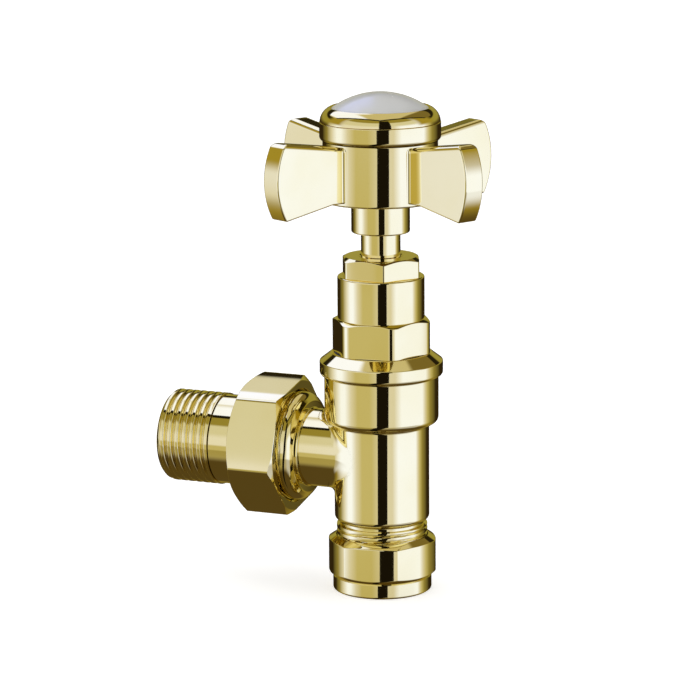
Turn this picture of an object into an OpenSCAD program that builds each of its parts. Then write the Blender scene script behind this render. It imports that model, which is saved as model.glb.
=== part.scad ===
// Angle radiator valve with a crosshead handle, a compression inlet for a copper pipe
// and a union with a threaded tail. The pipe enters along the upright axis from below,
// and the tail leaves along -X. The origin is on that axis, where the pipe enters.

/* [Pipe inlet] */
// Outside diameter of the pipe
pipe_d = 15; // [12:0.1:16]
// Room round the pipe in its socket, on the radius
pipe_room = 0.1; // [0.05:0.01:0.2]
// Wall of the spigot from the pipe to the crest of its thread
spigot_wall = 2.5; // [2:0.1:3.5]
// Length of bare thread between the nut and the body
inlet_thread_show = 4; // [2.5:0.1:8]
// Pitch of the bare thread
inlet_pitch = 1.3; // [1:0.05:2]
// Depth of the bare thread
inlet_thread_depth = 0.7; // [0.3:0.05:1]
// Height of the relief between the thread and the body
inlet_relief_h = 1; // [0.5:0.1:2]
// Depth of that relief
inlet_relief_depth = 0.7; // [0.3:0.1:1]
// Width of the tapered mouth that takes the olive, on the radius
mouth_w = 1.3; // [1.1:0.05:1.7]
// Depth of the tapered mouth
mouth_depth = 2.7; // [2.2:0.1:3.5]
// Height of the pipe's stop above the tube's lower end
stop_up = 3.2; // [2:0.1:4]

/* [Compression nut] */
// Height of the round skirt under the hexagon
nut_skirt_h = 3.3; // [2.5:0.1:5]
// Radius of the skirt's lower edge
nut_skirt_edge = 0.5; // [0.2:0.1:1]
// Height of the hexagon
nut_hex_h = 9.5; // [8:0.1:14]
// Wall of the nut over its thread, at the middle of a flat
nut_wall = 0.75; // [0.5:0.05:2]
// Depth that the corners are turned down
nut_corner_cut = 0.25; // [0.1:0.05:1]
// Height of the chamfer on the nut's upper end
nut_top_chamfer = 1.4; // [0.8:0.1:2]
// Height of the chamfer on the nut's lower corners
nut_foot_chamfer = 1.6; // [0.8:0.1:2.5]
// Slope of the nut's upper chamfer
nut_slope = 32.5; // [20:0.5:45]
// Turn of the nut about the upright axis
nut_turn = 6; // [0:0.5:60]
// Height of the space for the olive, from the nut's floor to the spigot
olive_space = 3; // [2.5:0.1:4]
// Largest thickness of the olive
olive_wall = 1; // [0.7:0.05:1.1]
// Thickness of the olive at its ends
olive_end_wall = 0.35; // [0.2:0.05:0.5]

/* [Body] */
// Diameter of the waterway through the seat
waterway_d = 11; // [9:0.1:12.5]
// Width of the seat's raised lip
seat_lip_w = 1.5; // [1:0.1:2.2]
// Height of the seat's raised lip
seat_lip_h = 1.3; // [0.8:0.1:2]
// Wall between the branch's waterway and the seat
seat_drop = 0.4; // [0.2:0.1:1]
// Room round the disc in its chamber
chamber_room = 1.1; // [0.6:0.1:2]
// Wall of the tube round the chamber
tube_wall = 2.25; // [1.6:0.05:3.5]
// Height of the tube
tube_h = 21.2; // [19:0.1:28]
// Radius of the tube's lower edge
tube_edge = 1.5; // [0.5:0.1:2.2]
// Wall of the cup round the bonnet's thread
cup_wall = 3.05; // [2.4:0.05:4]
// Height of the cup
cup_h = 10.8; // [9.6:0.1:15]
// Overhang of the flange on the cup
flange_step = 1; // [0.5:0.1:2.5]
// Height of the flange
flange_h = 3.2; // [2:0.1:5]
// Radius of the flange's lower edge
flange_edge = 0.9; // [0.3:0.1:1.5]
// Height of the cone on the flange
cone_h = 1.9; // [1.4:0.1:3.5]

/* [Branch and union] */
// Height of the branch's axis above the tube's lower end
branch_up = 14; // [12.5:0.1:15.5]
// Diameter of the waterway in the branch
branch_bore_d = 12.4; // [10:0.1:13.6]
// Wall of the branch
branch_wall = 2.55; // [1.8:0.05:2.9]
// Radius of the fillet between the branch and the tube
branch_fillet = 1.3; // [0.8:0.1:4]
// Length of the neck between the tube and the union's thread
neck_len = 6.35; // [4:0.05:9]
// Chamfer at the foot of the union's thread
union_thread_chamfer = 0.8; // [0.5:0.1:1.5]
// Length of the union's thread that stays bare
union_thread_show = 4; // [3:0.1:9]
// Pitch of the bare thread
union_pitch = 1.4; // [1:0.05:2]
// Depth of the bare thread
union_thread_depth = 0.8; // [0.3:0.05:1]
// Length of the union's thread inside the nut
union_thread_in = 5.6; // [4.5:0.1:9]
// Wall of the union nut over its thread, at the middle of a flat
union_wall = 1.4; // [1:0.05:3]
// Thickness of the union nut's inward lip
union_lip = 2; // [1.4:0.1:3]
// Height of the chamfer on the corners towards the body
union_front_chamfer = 0.45; // [0.2:0.05:1]
// Height of the chamfer on the corners towards the tail
union_back_chamfer = 1.3; // [0.5:0.1:1.6]
// Slope of both chamfers
union_slope = 27.5; // [20:0.5:45]
// Turn of the union nut, from a corner upright
union_turn = 19.3; // [0:0.1:60]

/* [Tail] */
// Diameter of the tail's plain length
tail_d = 20.4; // [18:0.1:23]
// Length of plain tail outside the union nut
tail_plain = 6.3; // [3:0.1:20]
// Diameter of the tail's thread, 1/2 inch parallel
tail_thread_d = 20.955; // [18:0.001:23]
// Length of the tail's thread
tail_thread_len = 13; // [9:0.5:20]
// Pitch of the tail's thread, 14 turns to the inch
tail_pitch = 1.814; // [1:0.001:2.4]
// Depth of the tail's thread
tail_thread_depth = 1; // [0.5:0.05:1.2]
// Chamfer at the tail's end
tail_chamfer = 0.9; // [0.4:0.1:1.5]
// Wall of the tail
tail_wall = 2.7; // [2:0.1:3.4]
// Overhang of the collar inside the union nut
tail_collar_step = 1.2; // [0.8:0.1:2]
// Thickness of that collar
tail_collar_h = 2.6; // [2:0.1:4]
// Room between the collar and the crest of the union's thread
tail_collar_room = 0.8; // [0.4:0.1:1.5]
// Length of the tail's sealing cone
tail_cone_len = 3.5; // [3:0.1:5]
// Rim of the body round the cone's mouth
tail_cone_rim = 2.8; // [2:0.1:3.2]
// Ledge between the branch's waterway and the cone
tail_cone_ledge = 0.8; // [0.5:0.1:1.2]
// Thickness of the sealing ring on the cone
tail_ring_w = 1.3; // [0.9:0.1:1.5]
// Width of the key socket across its flats
tail_key_af = 10; // [8:0.1:10.8]

/* [Bonnet and gland] */
// Diameter of the bonnet's thread in the body
bonnet_thread_d = 19.2; // [18:0.1:22]
// Length of the bonnet's thread in the body
bonnet_thread_len = 9.9; // [8:0.1:11]
// Step from the bonnet's thread out to its flats
bonnet_flat_step = 0.05; // [0:0.01:1]
// Height of the bonnet's hexagon
bonnet_hex_h = 7.7; // [5:0.1:12]
// Depth that the bonnet's corners are turned down
bonnet_corner_cut = 0.1; // [0:0.05:0.6]
// Turn of the bonnet's hexagon
bonnet_turn = 5.7; // [0:0.1:60]
// Step from the bonnet's flats in to the sleeve
sleeve_step = 0.15; // [0:0.05:1]
// Height of the sleeve
sleeve_h = 9.4; // [7:0.1:14]
// Thickness of the sealing ring under the bonnet
bonnet_seal_h = 1.2; // [0.8:0.1:1.6]
// Width of the sealing ring under the bonnet
bonnet_seal_w = 0.8; // [0.5:0.05:1]
// Diameter of the gland nut's thread
gland_thread_d = 13.6; // [12:0.1:15]
// Length of the gland nut's thread
gland_thread_len = 5; // [4:0.1:7]
// Wall of the gland nut over its thread, at the middle of a flat
gland_wall = 1.45; // [0.8:0.05:2]
// Height of the gland nut's hexagon
gland_hex_h = 4.4; // [3:0.1:8]
// Turn of the gland nut
gland_turn = -4; // [-30:0.5:30]
// Slope of the chamfers on the bonnet and the gland nut
hex_slope = 30; // [15:1:40]
// Height of the packing round the spindle
packing_h = 5; // [3.5:0.1:7]
// Thickness of the follower on the packing
follower_h = 1; // [0.6:0.1:2]
// Thickness of the floor under the packing
packing_floor = 0.6; // [0.4:0.1:1.5]

/* [Spindle and disc] */
// Diameter of the spindle
spindle_d = 8.7; // [7.6:0.1:9.6]
// Step from the spindle out to the crest of its thread
spindle_thread_step = 0.57; // [0.3:0.01:0.8]
// Step from the thread out to the collar at the spindle's foot
collar_step = 1.28; // [0.8:0.02:1.8]
// Travel of the disc from this position down to the seat
close_travel = 4.8; // [3:0.1:5.5]
// Travel of the disc from this position up to its stop
open_travel = 2; // [0.5:0.1:3]
// Gap that stays under the handle when the valve is shut
handle_gap = 0.5; // [0.3:0.1:4]
// Overlap of the disc on the seat's lip
disc_over = 0.2; // [0.1:0.05:0.5]
// Thickness of the valve disc
disc_h = 3; // [2:0.1:3.6]
// Thickness of the disc's washer
washer_h = 2; // [1.4:0.1:2.6]
// Diameter of the disc's stem
stem_d = 5; // [4.4:0.1:5.8]
// Share of the collar that the stem goes in
stem_share = 0.85; // [0.7:0.05:0.95]
// Diameter of the stud under the disc
stud_d = 4; // [3:0.1:5]
// Wall of the disc nut at the middle of a flat
disc_nut_wall = 1.5; // [1:0.1:2]
// Height of the disc nut
disc_nut_h = 2.2; // [1.6:0.1:2.8]
// Diameter of the pin that keeps the disc on the spindle
pin_d = 1.4; // [1:0.1:1.6]

/* [Handle] */
// Wall of the boss round the spindle
boss_wall = 2.1; // [1.5:0.1:4]
// Height of the boss
boss_h = 7; // [4.5:0.1:12]
// Depth of the spindle's round end in the boss
socket_depth = 3.3; // [2:0.1:4]
// Height of the hub
hub_h = 13.4; // [12:0.1:20]
// Overhang of the band on the hub
band_step = 0.5; // [0.2:0.1:1.5]
// Height of the band
band_h = 4; // [3:0.1:7]
// Number of arms
arm_count = 4; // [3:1:6]
// Turn of the first arm from the +X side
arm_turn = -27.1; // [-45:0.1:45]
// Thickness of an arm
arm_w = 5; // [3.5:0.1:7]
// Radius of the fillets at an arm's root
arm_root_fillet = 1; // [0.5:0.1:2]
// Distance from the spindle's axis to the middle of an arm's end
arm_reach = 30.7; // [26:0.1:38]
// Height of an arm at its end
arm_end_h = 15.8; // [14:0.1:19]
// Bulge of an arm's end
arm_bulge = 2.2; // [1.2:0.1:3.5]
// Radius of the upper corner of an arm's end
arm_corner = 1.2; // [0.5:0.1:2]
// Rise of an arm's end over the band's foot
arm_rise = 1.4; // [0:0.1:3]
// Drop of an arm's root under the band's foot
arm_root_drop = 0.6; // [0:0.1:2]
// Height of an arm's root over the hub's lower end
arm_root_lift = 0.8; // [0.5:0.1:3]
// Length of an arm's lower edge that stays level
arm_level = 2.8; // [1:0.1:6]
// Diameter of the handle screw
screw_d = 4; // [3:0.1:4.6]
// Length of the handle screw in the spindle
screw_len = 10; // [7:0.5:14]
// Overhang of the screw's head
screw_head_step = 1.5; // [1:0.1:2.5]
// Height of the screw's head
screw_head_h = 2.4; // [1.6:0.1:3.5]
// Width and depth of the slot in the screw's head
screw_slot_w = 1; // [0.6:0.1:1.4]
// Overhang of the washer under the screw, past the spindle
screw_washer_over = 0.65; // [0.5:0.05:2]
// Thickness of the washer under the screw
screw_washer_h = 0.8; // [0.5:0.1:1.5]
// Room over the screw, up to the hub's upper end
screw_room = 2.9; // [2:0.1:5]

/* [Cap] */
// Diameter of the ceramic button
button_d = 21.2; // [19:0.1:23]
// Height of the button's dome
dome_h = 3.5; // [2:0.1:6]
// Width of the ring from the button to its outside
ring_w = 2.7; // [2.2:0.1:5]
// Height of the ring
ring_h = 3.2; // [2.4:0.1:6]
// Width of the ring's flat top round the button
ring_top_w = 0.3; // [0.2:0.05:1]
// Bulge of the ring's rounded side
ring_bulge = 0.5; // [0.2:0.05:1.2]
// Depth of the button's rim under the ring's top
rim_depth = 0.3; // [0.2:0.05:1]
// Height of the button's ledge over the hub's upper end
ledge_h = 0.7; // [0.5:0.1:1.5]
// Width of the button's ledge
ledge_w = 1.3; // [1:0.1:1.6]
// Length of the ring's skirt in the hub
skirt_h = 3.1; // [2.4:0.1:3.8]
// Width of the hub's bore outside the button, on the radius
cap_bore_over = 0.5; // [0.4:0.1:0.8]
// Room round the skirt in the hub's bore
skirt_room = 0.1; // [0.05:0.01:0.2]
// Thickness of the sealing ring on the skirt
cap_seal_w = 1; // [0.7:0.05:1.1]

/* [Clearances] */
// Room between a male and a female thread, on the radius
thread_room = 0.15; // [0.1:0.01:0.25]
// Room round a turning shaft, on the radius
shaft_room = 0.08; // [0.05:0.01:0.1]
// Room between a seat and what will be tightened on it
seat_room = 0.3; // [0.2:0.05:0.35]
// Room between pieces that are fitted together for good
fit_room = 0.05; // [0.03:0.01:0.08]
// Small chamfer on a machined edge
edge = 0.5; // [0.2:0.05:0.6]

/* [Hidden] */
$fn = 96;
// Facets of a thin round piece
fine = 24;
// Overshoot of a cut past the face that it opens
cut = 1;
// Share of a thread's pitch that its flat crest takes
crest_share = 0.2;

// Radii at the inlet, from the pipe outwards
pipe_r = pipe_d / 2 + pipe_room;
inlet_thread_r = pipe_r + spigot_wall;
nut_bore_r = inlet_thread_r + thread_room;
nut_flat_r = nut_bore_r + nut_wall;
nut_corner_r = corner_r(nut_flat_r) - nut_corner_cut;
olive_r = pipe_r + olive_wall;
olive_end_r = pipe_r + olive_end_wall;

// Radii of the waterway, the disc and the chamber round it
waterway_r = waterway_d / 2;
lip_r = waterway_r + seat_lip_w;
disc_r = lip_r + disc_over;
chamber_r = disc_r + chamber_room;
tube_r = chamber_r + tube_wall;

// Radii of the spindle, the gland and the bonnet
spindle_r = spindle_d / 2;
spindle_thread_r = spindle_r + spindle_thread_step;
collar_r = spindle_thread_r + collar_step;
square_af = spindle_d / sqrt(2) - fit_room;
stem_r = stem_d / 2;
stud_r = stud_d / 2;
gland_thread_r = gland_thread_d / 2;
gland_flat_r = gland_thread_r + gland_wall;
bonnet_thread_r = bonnet_thread_d / 2;
bonnet_bore_r = bonnet_thread_r + fit_room;
bonnet_flat_r = bonnet_thread_r + bonnet_flat_step;
bonnet_corner_r = corner_r(bonnet_flat_r) - bonnet_corner_cut;
sleeve_r = bonnet_flat_r - sleeve_step;
cup_r = bonnet_thread_r + cup_wall;
flange_r = cup_r + flange_step;

// Radii of the handle and its cap
boss_r = spindle_r + boss_wall;
button_r = button_d / 2;
band_r = button_r + ring_w;
hub_r = band_r - band_step;
cap_bore_r = button_r + cap_bore_over;
skirt_r = cap_bore_r - skirt_room;
skirt_inner_r = button_r - ledge_w;

// Heights, stacked up from the underside of the compression nut
nut_top = nut_skirt_h + nut_hex_h;
spigot_z = nut_skirt_h + olive_space;
tube_z = nut_top + inlet_thread_show;
stop_z = tube_z + stop_up;
branch_z = tube_z + branch_up;
cup_z = tube_z + tube_h;
flange_z = cup_z + cup_h;
cone_z = flange_z + flange_h;
body_top = cone_z + cone_h;
sleeve_z = body_top + bonnet_hex_h;
bonnet_top = sleeve_z + sleeve_h;
gland_top = bonnet_top + gland_hex_h;
boss_z = gland_top + close_travel + handle_gap;
hub_z = boss_z + boss_h;
band_z = hub_z + hub_h;
ring_z = band_z + band_h;
ring_top = ring_z + ring_h;

// Heights inside the body and the bonnet
seat_z = branch_z - branch_bore_d / 2 - seat_drop;
bonnet_z = body_top - bonnet_thread_len;
gland_z = bonnet_top - gland_thread_len;
follower_z = gland_z - follower_h;
packing_z = follower_z - packing_h;
neck_z = packing_z - packing_floor;

// Heights of the disc and the spindle in this position
washer_z = seat_z + close_travel + seat_room;
disc_z = washer_z + washer_h;
disc_top = disc_z + disc_h;
spindle_z = disc_top + seat_room;
collar_top = bonnet_z - open_travel - seat_room;
spindle_thread_top = neck_z - open_travel - seat_room;
stem_len = (collar_top - spindle_z) * stem_share;
pin_z = spindle_z + stem_len / 2;
square_z = boss_z + socket_depth;
cap_floor_z = ring_z - screw_washer_h - screw_head_h - screw_room;
square_top = cap_floor_z - seat_room;

// Heights of the olive
olive_z = nut_skirt_h + seat_room;
olive_mid_z = spigot_z - olive_space / 3;
olive_end_z = spigot_z + mouth_depth / 2;

// Heights of the cap
skirt_z = ring_z - skirt_h;
cap_groove_z = ring_z - skirt_h / 2;
cap_groove_r = skirt_r - cap_seal_w + fit_room;
button_z = ring_z + ledge_h;
rim_z = ring_top - rim_depth;

// Radii of the branch, the union and the tail
branch_bore_r = branch_bore_d / 2;
branch_r = branch_bore_r + branch_wall;
tail_r = tail_d / 2;
tail_collar_r = tail_r + tail_collar_step;
union_thread_r = tail_collar_r + tail_collar_room;
union_bore_r = union_thread_r + thread_room;
union_flat_r = union_bore_r + union_wall;
cone_tip_r = branch_bore_r + tail_cone_ledge;
cone_base_r = union_thread_r - tail_cone_rim;
cone_slope = (cone_base_r - cone_tip_r) / tail_cone_len;

// Distances along the branch from the upright axis
union_thread_at = tube_r + neck_len;
union_nut_at = union_thread_at + union_thread_show;
union_end = union_nut_at + union_thread_in;
tail_collar_at = union_end + seat_room;
tail_collar_end = tail_collar_at + tail_collar_h;
union_lip_at = tail_collar_end + seat_room;
union_nut_end = union_lip_at + union_lip;
tail_thread_at = union_nut_end + tail_plain;
tail_end = tail_thread_at + tail_thread_len;

// Place of the tail's sealing ring on the cone
tail_ring_at = tail_collar_at - tail_cone_len * 0.46;
tail_ring_r = cone_base_r - (tail_collar_at - tail_ring_at) * cone_slope - tail_ring_w * 0.575;

// Points of an arc round a centre, from angle a0 to angle a1
function arc(centre, radius, a0, a1, steps = 6) =
    [for (i = [0:steps]) centre + radius * [cos(a0 + (a1 - a0) * i / steps), sin(a0 + (a1 - a0) * i / steps)]];

// Points of an arc from one point to another that bulges to the right of the way between them
function bulged(from, to, bulge) =
    let (
        half = (to - from) / 2,
        radius = (half * half + bulge * bulge) / (2 * bulge),
        centre = (from + to) / 2 + [-half[1], half[0]] / norm(half) * (radius - bulge)
    )
    arc(
        centre,
        radius,
        atan2(from[1] - centre[1], from[0] - centre[0]),
        atan2(to[1] - centre[1], to[0] - centre[0]),
        8
    );

// Side of a threaded length, from one height to another: flat crests with vees cut between them
function grooved(radius, from, to, pitch, depth) =
    let (crest = pitch * crest_share, vee = pitch - crest, turns = floor((to - from - crest) / pitch))
    concat(
        [[radius, from]],
        [
            for (i = [turns:-1:1], point = [
                [radius, to - i * pitch],
                [radius - depth, to - i * pitch + vee / 2],
                [radius, to - i * pitch + vee]
            ]) point
        ],
        [[radius, to]]
    );

// Radius across the corners of a hexagon whose flats lie at flat_r from its axis
function corner_r(flat_r) = flat_r * 2 / sqrt(3);

// A solid turned from a list of radius and height points
module turned(points) {
    rotate_extrude() polygon(points);
}

// A ring of round section
module round_ring(centre_r, section_r) {
    rotate_extrude() translate([centre_r, 0]) circle(r = section_r, $fn = fine);
}

// A hexagon bar from height z, with its first corner at the angle turn
module hex_bar(flat_r, z, height, turn = 0) {
    translate([0, 0, z]) rotate([0, 0, turn]) cylinder(r = corner_r(flat_r), h = height, $fn = 6);
}

// A hexagon with its upper corners turned down to a circle just inside its flats
module chamfered_hex(flat_r, corner, top_r, z, top, turn) {
    intersection() {
        hex_bar(flat_r, z, top - z, turn);
        turned([
            [0, z],
            [corner, z],
            [corner, top - (corner - top_r) * tan(hex_slope)],
            [top_r, top],
            [0, top]
        ]);
    }
}

// A flat ring from height z
module flat_ring(outer_r, inner_r, z, height) {
    difference() {
        translate([0, 0, z]) cylinder(r = outer_r, h = height);
        translate([0, 0, z - cut]) cylinder(r = inner_r, h = height + 2 * cut);
    }
}

// Puts a piece that is drawn upright on the branch's axis, pointing to -X
module on_branch() {
    translate([0, 0, branch_z]) rotate([0, -90, 0]) children();
}

// Outside of the body, turned round the upright axis
module body_outside() {
    relief_r = inlet_thread_r - inlet_relief_depth;
    cup_edge = cup_r - tube_r;
    turned(concat(
        [
            [0, spigot_z],
            [inlet_thread_r - edge, spigot_z],
            [inlet_thread_r, spigot_z + edge]
        ],
        grooved(inlet_thread_r, nut_top, tube_z - inlet_relief_h, inlet_pitch, inlet_thread_depth),
        [[relief_r, tube_z - inlet_relief_h], [relief_r, tube_z]],
        arc([tube_r - tube_edge, tube_z + tube_edge], tube_edge, -90, 0),
        [[tube_r, cup_z]],
        arc([cup_r - cup_edge, cup_z + cup_edge], cup_edge, -90, 0),
        [[cup_r, flange_z]],
        arc([flange_r - flange_edge, flange_z + flange_edge], flange_edge, -90, 0, 4),
        [
            [flange_r, cone_z],
            [bonnet_corner_r + 2 * fit_room, body_top],
            [0, body_top]
        ]
    ));
}

// Branch with its fillet and the union's thread, turned round the branch's axis
module branch_outside() {
    flare_r = min(tube_r - 3 * fit_room, branch_r + branch_fillet);
    bare_from = union_thread_at + union_thread_chamfer;
    flare_angle = acos(1 - (flare_r - branch_r) / branch_fillet);
    flare_end = tube_r + branch_fillet * sin(flare_angle);
    turned(concat(
        [[0, 0], [flare_r, 0]],
        arc([branch_r + branch_fillet, flare_end], branch_fillet, 180 + flare_angle, 180, 8),
        [
            [branch_r, union_thread_at],
            [union_thread_r - union_thread_chamfer, union_thread_at]
        ],
        grooved(union_thread_r, bare_from, union_nut_at, union_pitch, union_thread_depth),
        [
            [union_thread_r, union_end - edge],
            [union_thread_r - edge, union_end],
            [0, union_end]
        ]
    ));
}

// Hollow of the body from the pipe's mouth up to the bonnet
module body_hollow() {
    seal_bore_r = bonnet_bore_r + bonnet_seal_w;
    turned([
        [0, spigot_z - cut],
        [pipe_r + mouth_w, spigot_z - cut],
        [pipe_r + mouth_w, spigot_z],
        [pipe_r, spigot_z + mouth_depth],
        [pipe_r, stop_z],
        [waterway_r, stop_z],
        [waterway_r, seat_z],
        [lip_r, seat_z],
        [lip_r, seat_z - seat_lip_h],
        [chamber_r, seat_z - seat_lip_h],
        [chamber_r, bonnet_z],
        [bonnet_bore_r, bonnet_z],
        [bonnet_bore_r, body_top - bonnet_seal_h],
        [seal_bore_r, body_top - bonnet_seal_h],
        [seal_bore_r, body_top + cut],
        [0, body_top + cut]
    ]);
}

// Waterway of the branch, with the cone that the tail seals on
module branch_hollow() {
    turned([
        [0, 0],
        [branch_bore_r, 0],
        [branch_bore_r, union_end - tail_cone_len],
        [cone_tip_r, union_end - tail_cone_len],
        [cone_base_r, union_end],
        [cone_base_r, union_end + cut],
        [0, union_end + cut]
    ]);
}

module valve_body() {
    color("gold")
    difference() {
        union() {
            body_outside();
            on_branch() branch_outside();
        }
        body_hollow();
        on_branch() branch_hollow();
    }
}

module bonnet() {
    color("gold")
    difference() {
        union() {
            chamfered_hex(bonnet_flat_r, bonnet_corner_r, bonnet_flat_r, body_top, sleeve_z, bonnet_turn);
            turned([
                [0, bonnet_z],
                [bonnet_thread_r - edge, bonnet_z],
                [bonnet_thread_r, bonnet_z + edge],
                [bonnet_thread_r, body_top],
                [sleeve_r, body_top],
                [sleeve_r, bonnet_top - edge],
                [sleeve_r - edge, bonnet_top],
                [0, bonnet_top]
            ]);
        }
        turned([
            [0, bonnet_z - cut],
            [spindle_thread_r + shaft_room, bonnet_z - cut],
            [spindle_thread_r + shaft_room, neck_z],
            [spindle_r + shaft_room, neck_z],
            [spindle_r + shaft_room, packing_z],
            [gland_thread_r + fit_room, packing_z],
            [gland_thread_r + fit_room, bonnet_top + cut],
            [0, bonnet_top + cut]
        ]);
    }
}

module bonnet_seal() {
    color("dimgray")
    flat_ring(bonnet_thread_r + bonnet_seal_w, bonnet_bore_r, body_top - bonnet_seal_h, bonnet_seal_h);
}

module gland_nut() {
    top_r = gland_flat_r - 0.7 * edge;
    bore_r = spindle_r + shaft_room;
    color("gold")
    difference() {
        union() {
            chamfered_hex(gland_flat_r, corner_r(gland_flat_r), top_r, bonnet_top, gland_top, gland_turn);
            turned([
                [0, gland_z],
                [gland_thread_r - edge, gland_z],
                [gland_thread_r, gland_z + edge],
                [gland_thread_r, bonnet_top],
                [0, bonnet_top]
            ]);
        }
        turned([
            [0, gland_z - cut],
            [bore_r, gland_z - cut],
            [bore_r, gland_top - edge],
            [bore_r + edge, gland_top],
            [bore_r + edge, gland_top + cut],
            [0, gland_top + cut]
        ]);
    }
}

module gland_follower() {
    color("goldenrod") flat_ring(gland_thread_r, spindle_r + shaft_room, follower_z, follower_h);
}

module gland_packing() {
    color("dimgray") flat_ring(gland_thread_r, spindle_r + shaft_room, packing_z, packing_h);
}

module spindle() {
    color("goldenrod")
    difference() {
        union() {
            turned([
                [0, spindle_z],
                [collar_r - edge, spindle_z],
                [collar_r, spindle_z + edge],
                [collar_r, collar_top - edge],
                [collar_r - edge, collar_top],
                [spindle_thread_r, collar_top],
                [spindle_thread_r, spindle_thread_top - edge],
                [spindle_r, spindle_thread_top],
                [spindle_r, square_z],
                [0, square_z]
            ]);
            translate([-square_af / 2, -square_af / 2, square_z - cut])
            cube([square_af, square_af, square_top - square_z + cut]);
        }
        translate([0, 0, spindle_z - cut])
        cylinder(r = stem_r + shaft_room, h = stem_len + seat_room + cut);
        pin_bar(pin_d / 2 + fit_room, 2 * collar_r);
        translate([0, 0, square_top - screw_len])
        cylinder(r = screw_d / 2 + fit_room, h = screw_len + cut);
    }
}

// Bar across the spindle's collar, beside the middle of the disc's stem
module pin_bar(radius, half_len) {
    translate([0, stem_r, pin_z])
    rotate([0, 90, 0])
    cylinder(r = radius, h = 2 * half_len, center = true, $fn = fine);
}

// Pin in the groove of the disc's stem
module disc_pin() {
    color("silver") pin_bar(pin_d / 2, sqrt(collar_r * collar_r - stem_r * stem_r) - edge);
}

module valve_disc() {
    pin_room = 3 * fit_room;
    groove_r = stem_r - pin_d / 2 - pin_room;
    groove_half = pin_d / 2 + pin_room;
    color("goldenrod")
    turned([
        [0, washer_z - disc_nut_h - edge],
        [stud_r, washer_z - disc_nut_h - edge],
        [stud_r, disc_z],
        [disc_r, disc_z],
        [disc_r, disc_top - edge],
        [disc_r - edge, disc_top],
        [stem_r, disc_top],
        [stem_r, pin_z - groove_half],
        [groove_r, pin_z - groove_half],
        [groove_r, pin_z + groove_half],
        [stem_r, pin_z + groove_half],
        [stem_r, spindle_z + stem_len],
        [0, spindle_z + stem_len]
    ]);
}

module disc_washer() {
    color("black") flat_ring(disc_r - edge, stud_r + fit_room, washer_z, washer_h);
}

module disc_nut() {
    color("gold")
    difference() {
        hex_bar(stud_r + disc_nut_wall, washer_z - disc_nut_h, disc_nut_h);
        translate([0, 0, washer_z - disc_nut_h - cut])
        cylinder(r = stud_r + fit_room, h = disc_nut_h + 2 * cut);
    }
}

// Side view of one arm, from the spindle's axis to the rounded end
module arm_side() {
    root_top = band_z - arm_root_drop;
    root_bottom = hub_z + arm_root_lift;
    end_top = band_z + arm_rise;
    end_r = arm_reach - arm_bulge;
    half = arm_end_h / 2;
    round_r = (half * half + arm_bulge * arm_bulge) / (2 * arm_bulge);
    centre = [arm_reach - round_r, end_top - half];
    slope = atan2(end_top - root_top, end_r - hub_r);
    normal = [-sin(slope), cos(slope)];
    depth = ([end_r, end_top] - centre) * normal - arm_corner;
    along = sqrt(pow(round_r - arm_corner, 2) - depth * depth);
    corner_centre = centre + depth * normal + along * [cos(slope), sin(slope)];
    corner_angle = atan2(corner_centre[1] - centre[1], corner_centre[0] - centre[0]);
    polygon(concat(
        [[0, root_bottom], [hub_r + arm_level, root_bottom]],
        arc(centre, round_r, -asin(half / round_r), corner_angle, 10),
        arc(corner_centre, arm_corner, corner_angle, slope + 90, 5),
        [[hub_r, root_top], [0, root_top]]
    ));
}

// Plan view of one arm, with a fillet on each side of its root
module arm_plan() {
    half = arm_w / 2;
    root_x = sqrt(hub_r * hub_r - pow(half + arm_root_fillet, 2));
    root_w = half + arm_root_fillet;
    translate([0, -half]) square([arm_reach + cut, arm_w]);
    difference() {
        translate([0, -root_w]) square([root_x + arm_root_fillet, 2 * root_w]);
        for (side = [-1, 1])
        translate([root_x + arm_root_fillet, side * root_w])
        circle(r = arm_root_fillet, $fn = fine * 2);
    }
}

module arm() {
    intersection() {
        rotate([90, 0, 0]) linear_extrude(height = 2 * arm_w, center = true) arm_side();
        translate([0, 0, boss_z]) linear_extrude(height = ring_z - boss_z) arm_plan();
    }
}

module crosshead() {
    hole_w = square_af + 2 * fit_room;
    color("gold")
    difference() {
        union() {
            turned(concat(
                [
                    [0, boss_z],
                    [boss_r - edge, boss_z],
                    [boss_r, boss_z + edge],
                    [boss_r, hub_z],
                    [hub_r - edge, hub_z],
                    [hub_r, hub_z + edge],
                    [hub_r, band_z]
                ],
                arc([hub_r, band_z + band_step], band_step, -90, 0, 4),
                [[band_r, ring_z], [0, ring_z]]
            ));
            for (i = [0:arm_count - 1])
            rotate([0, 0, arm_turn + i * 360 / arm_count])
            arm();
        }
        translate([0, 0, cap_floor_z]) cylinder(r = cap_bore_r, h = ring_z - cap_floor_z + cut);
        translate([0, 0, boss_z - cut]) cylinder(r = spindle_r + fit_room, h = socket_depth + cut);
        translate([-hole_w / 2, -hole_w / 2, square_z - cut])
        cube([hole_w, hole_w, cap_floor_z - square_z + 2 * cut]);
    }
}

module handle_screw() {
    head_z = cap_floor_z + screw_washer_h;
    head_top = head_z + screw_head_h;
    shank_r = screw_d / 2;
    head_r = shank_r + screw_head_step;
    color("silver")
    difference() {
        turned([
            [0, square_top - screw_len + edge],
            [shank_r, square_top - screw_len + edge],
            [shank_r, head_z],
            [head_r, head_z],
            [head_r, head_top - edge],
            [head_r - edge, head_top],
            [0, head_top]
        ]);
        translate([-2 * head_r, -screw_slot_w / 2, head_top - screw_slot_w])
        cube([4 * head_r, screw_slot_w, screw_slot_w + cut]);
    }
}

module screw_washer() {
    color("silver")
    flat_ring(spindle_r + screw_washer_over, screw_d / 2 + fit_room, cap_floor_z, screw_washer_h);
}

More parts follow.
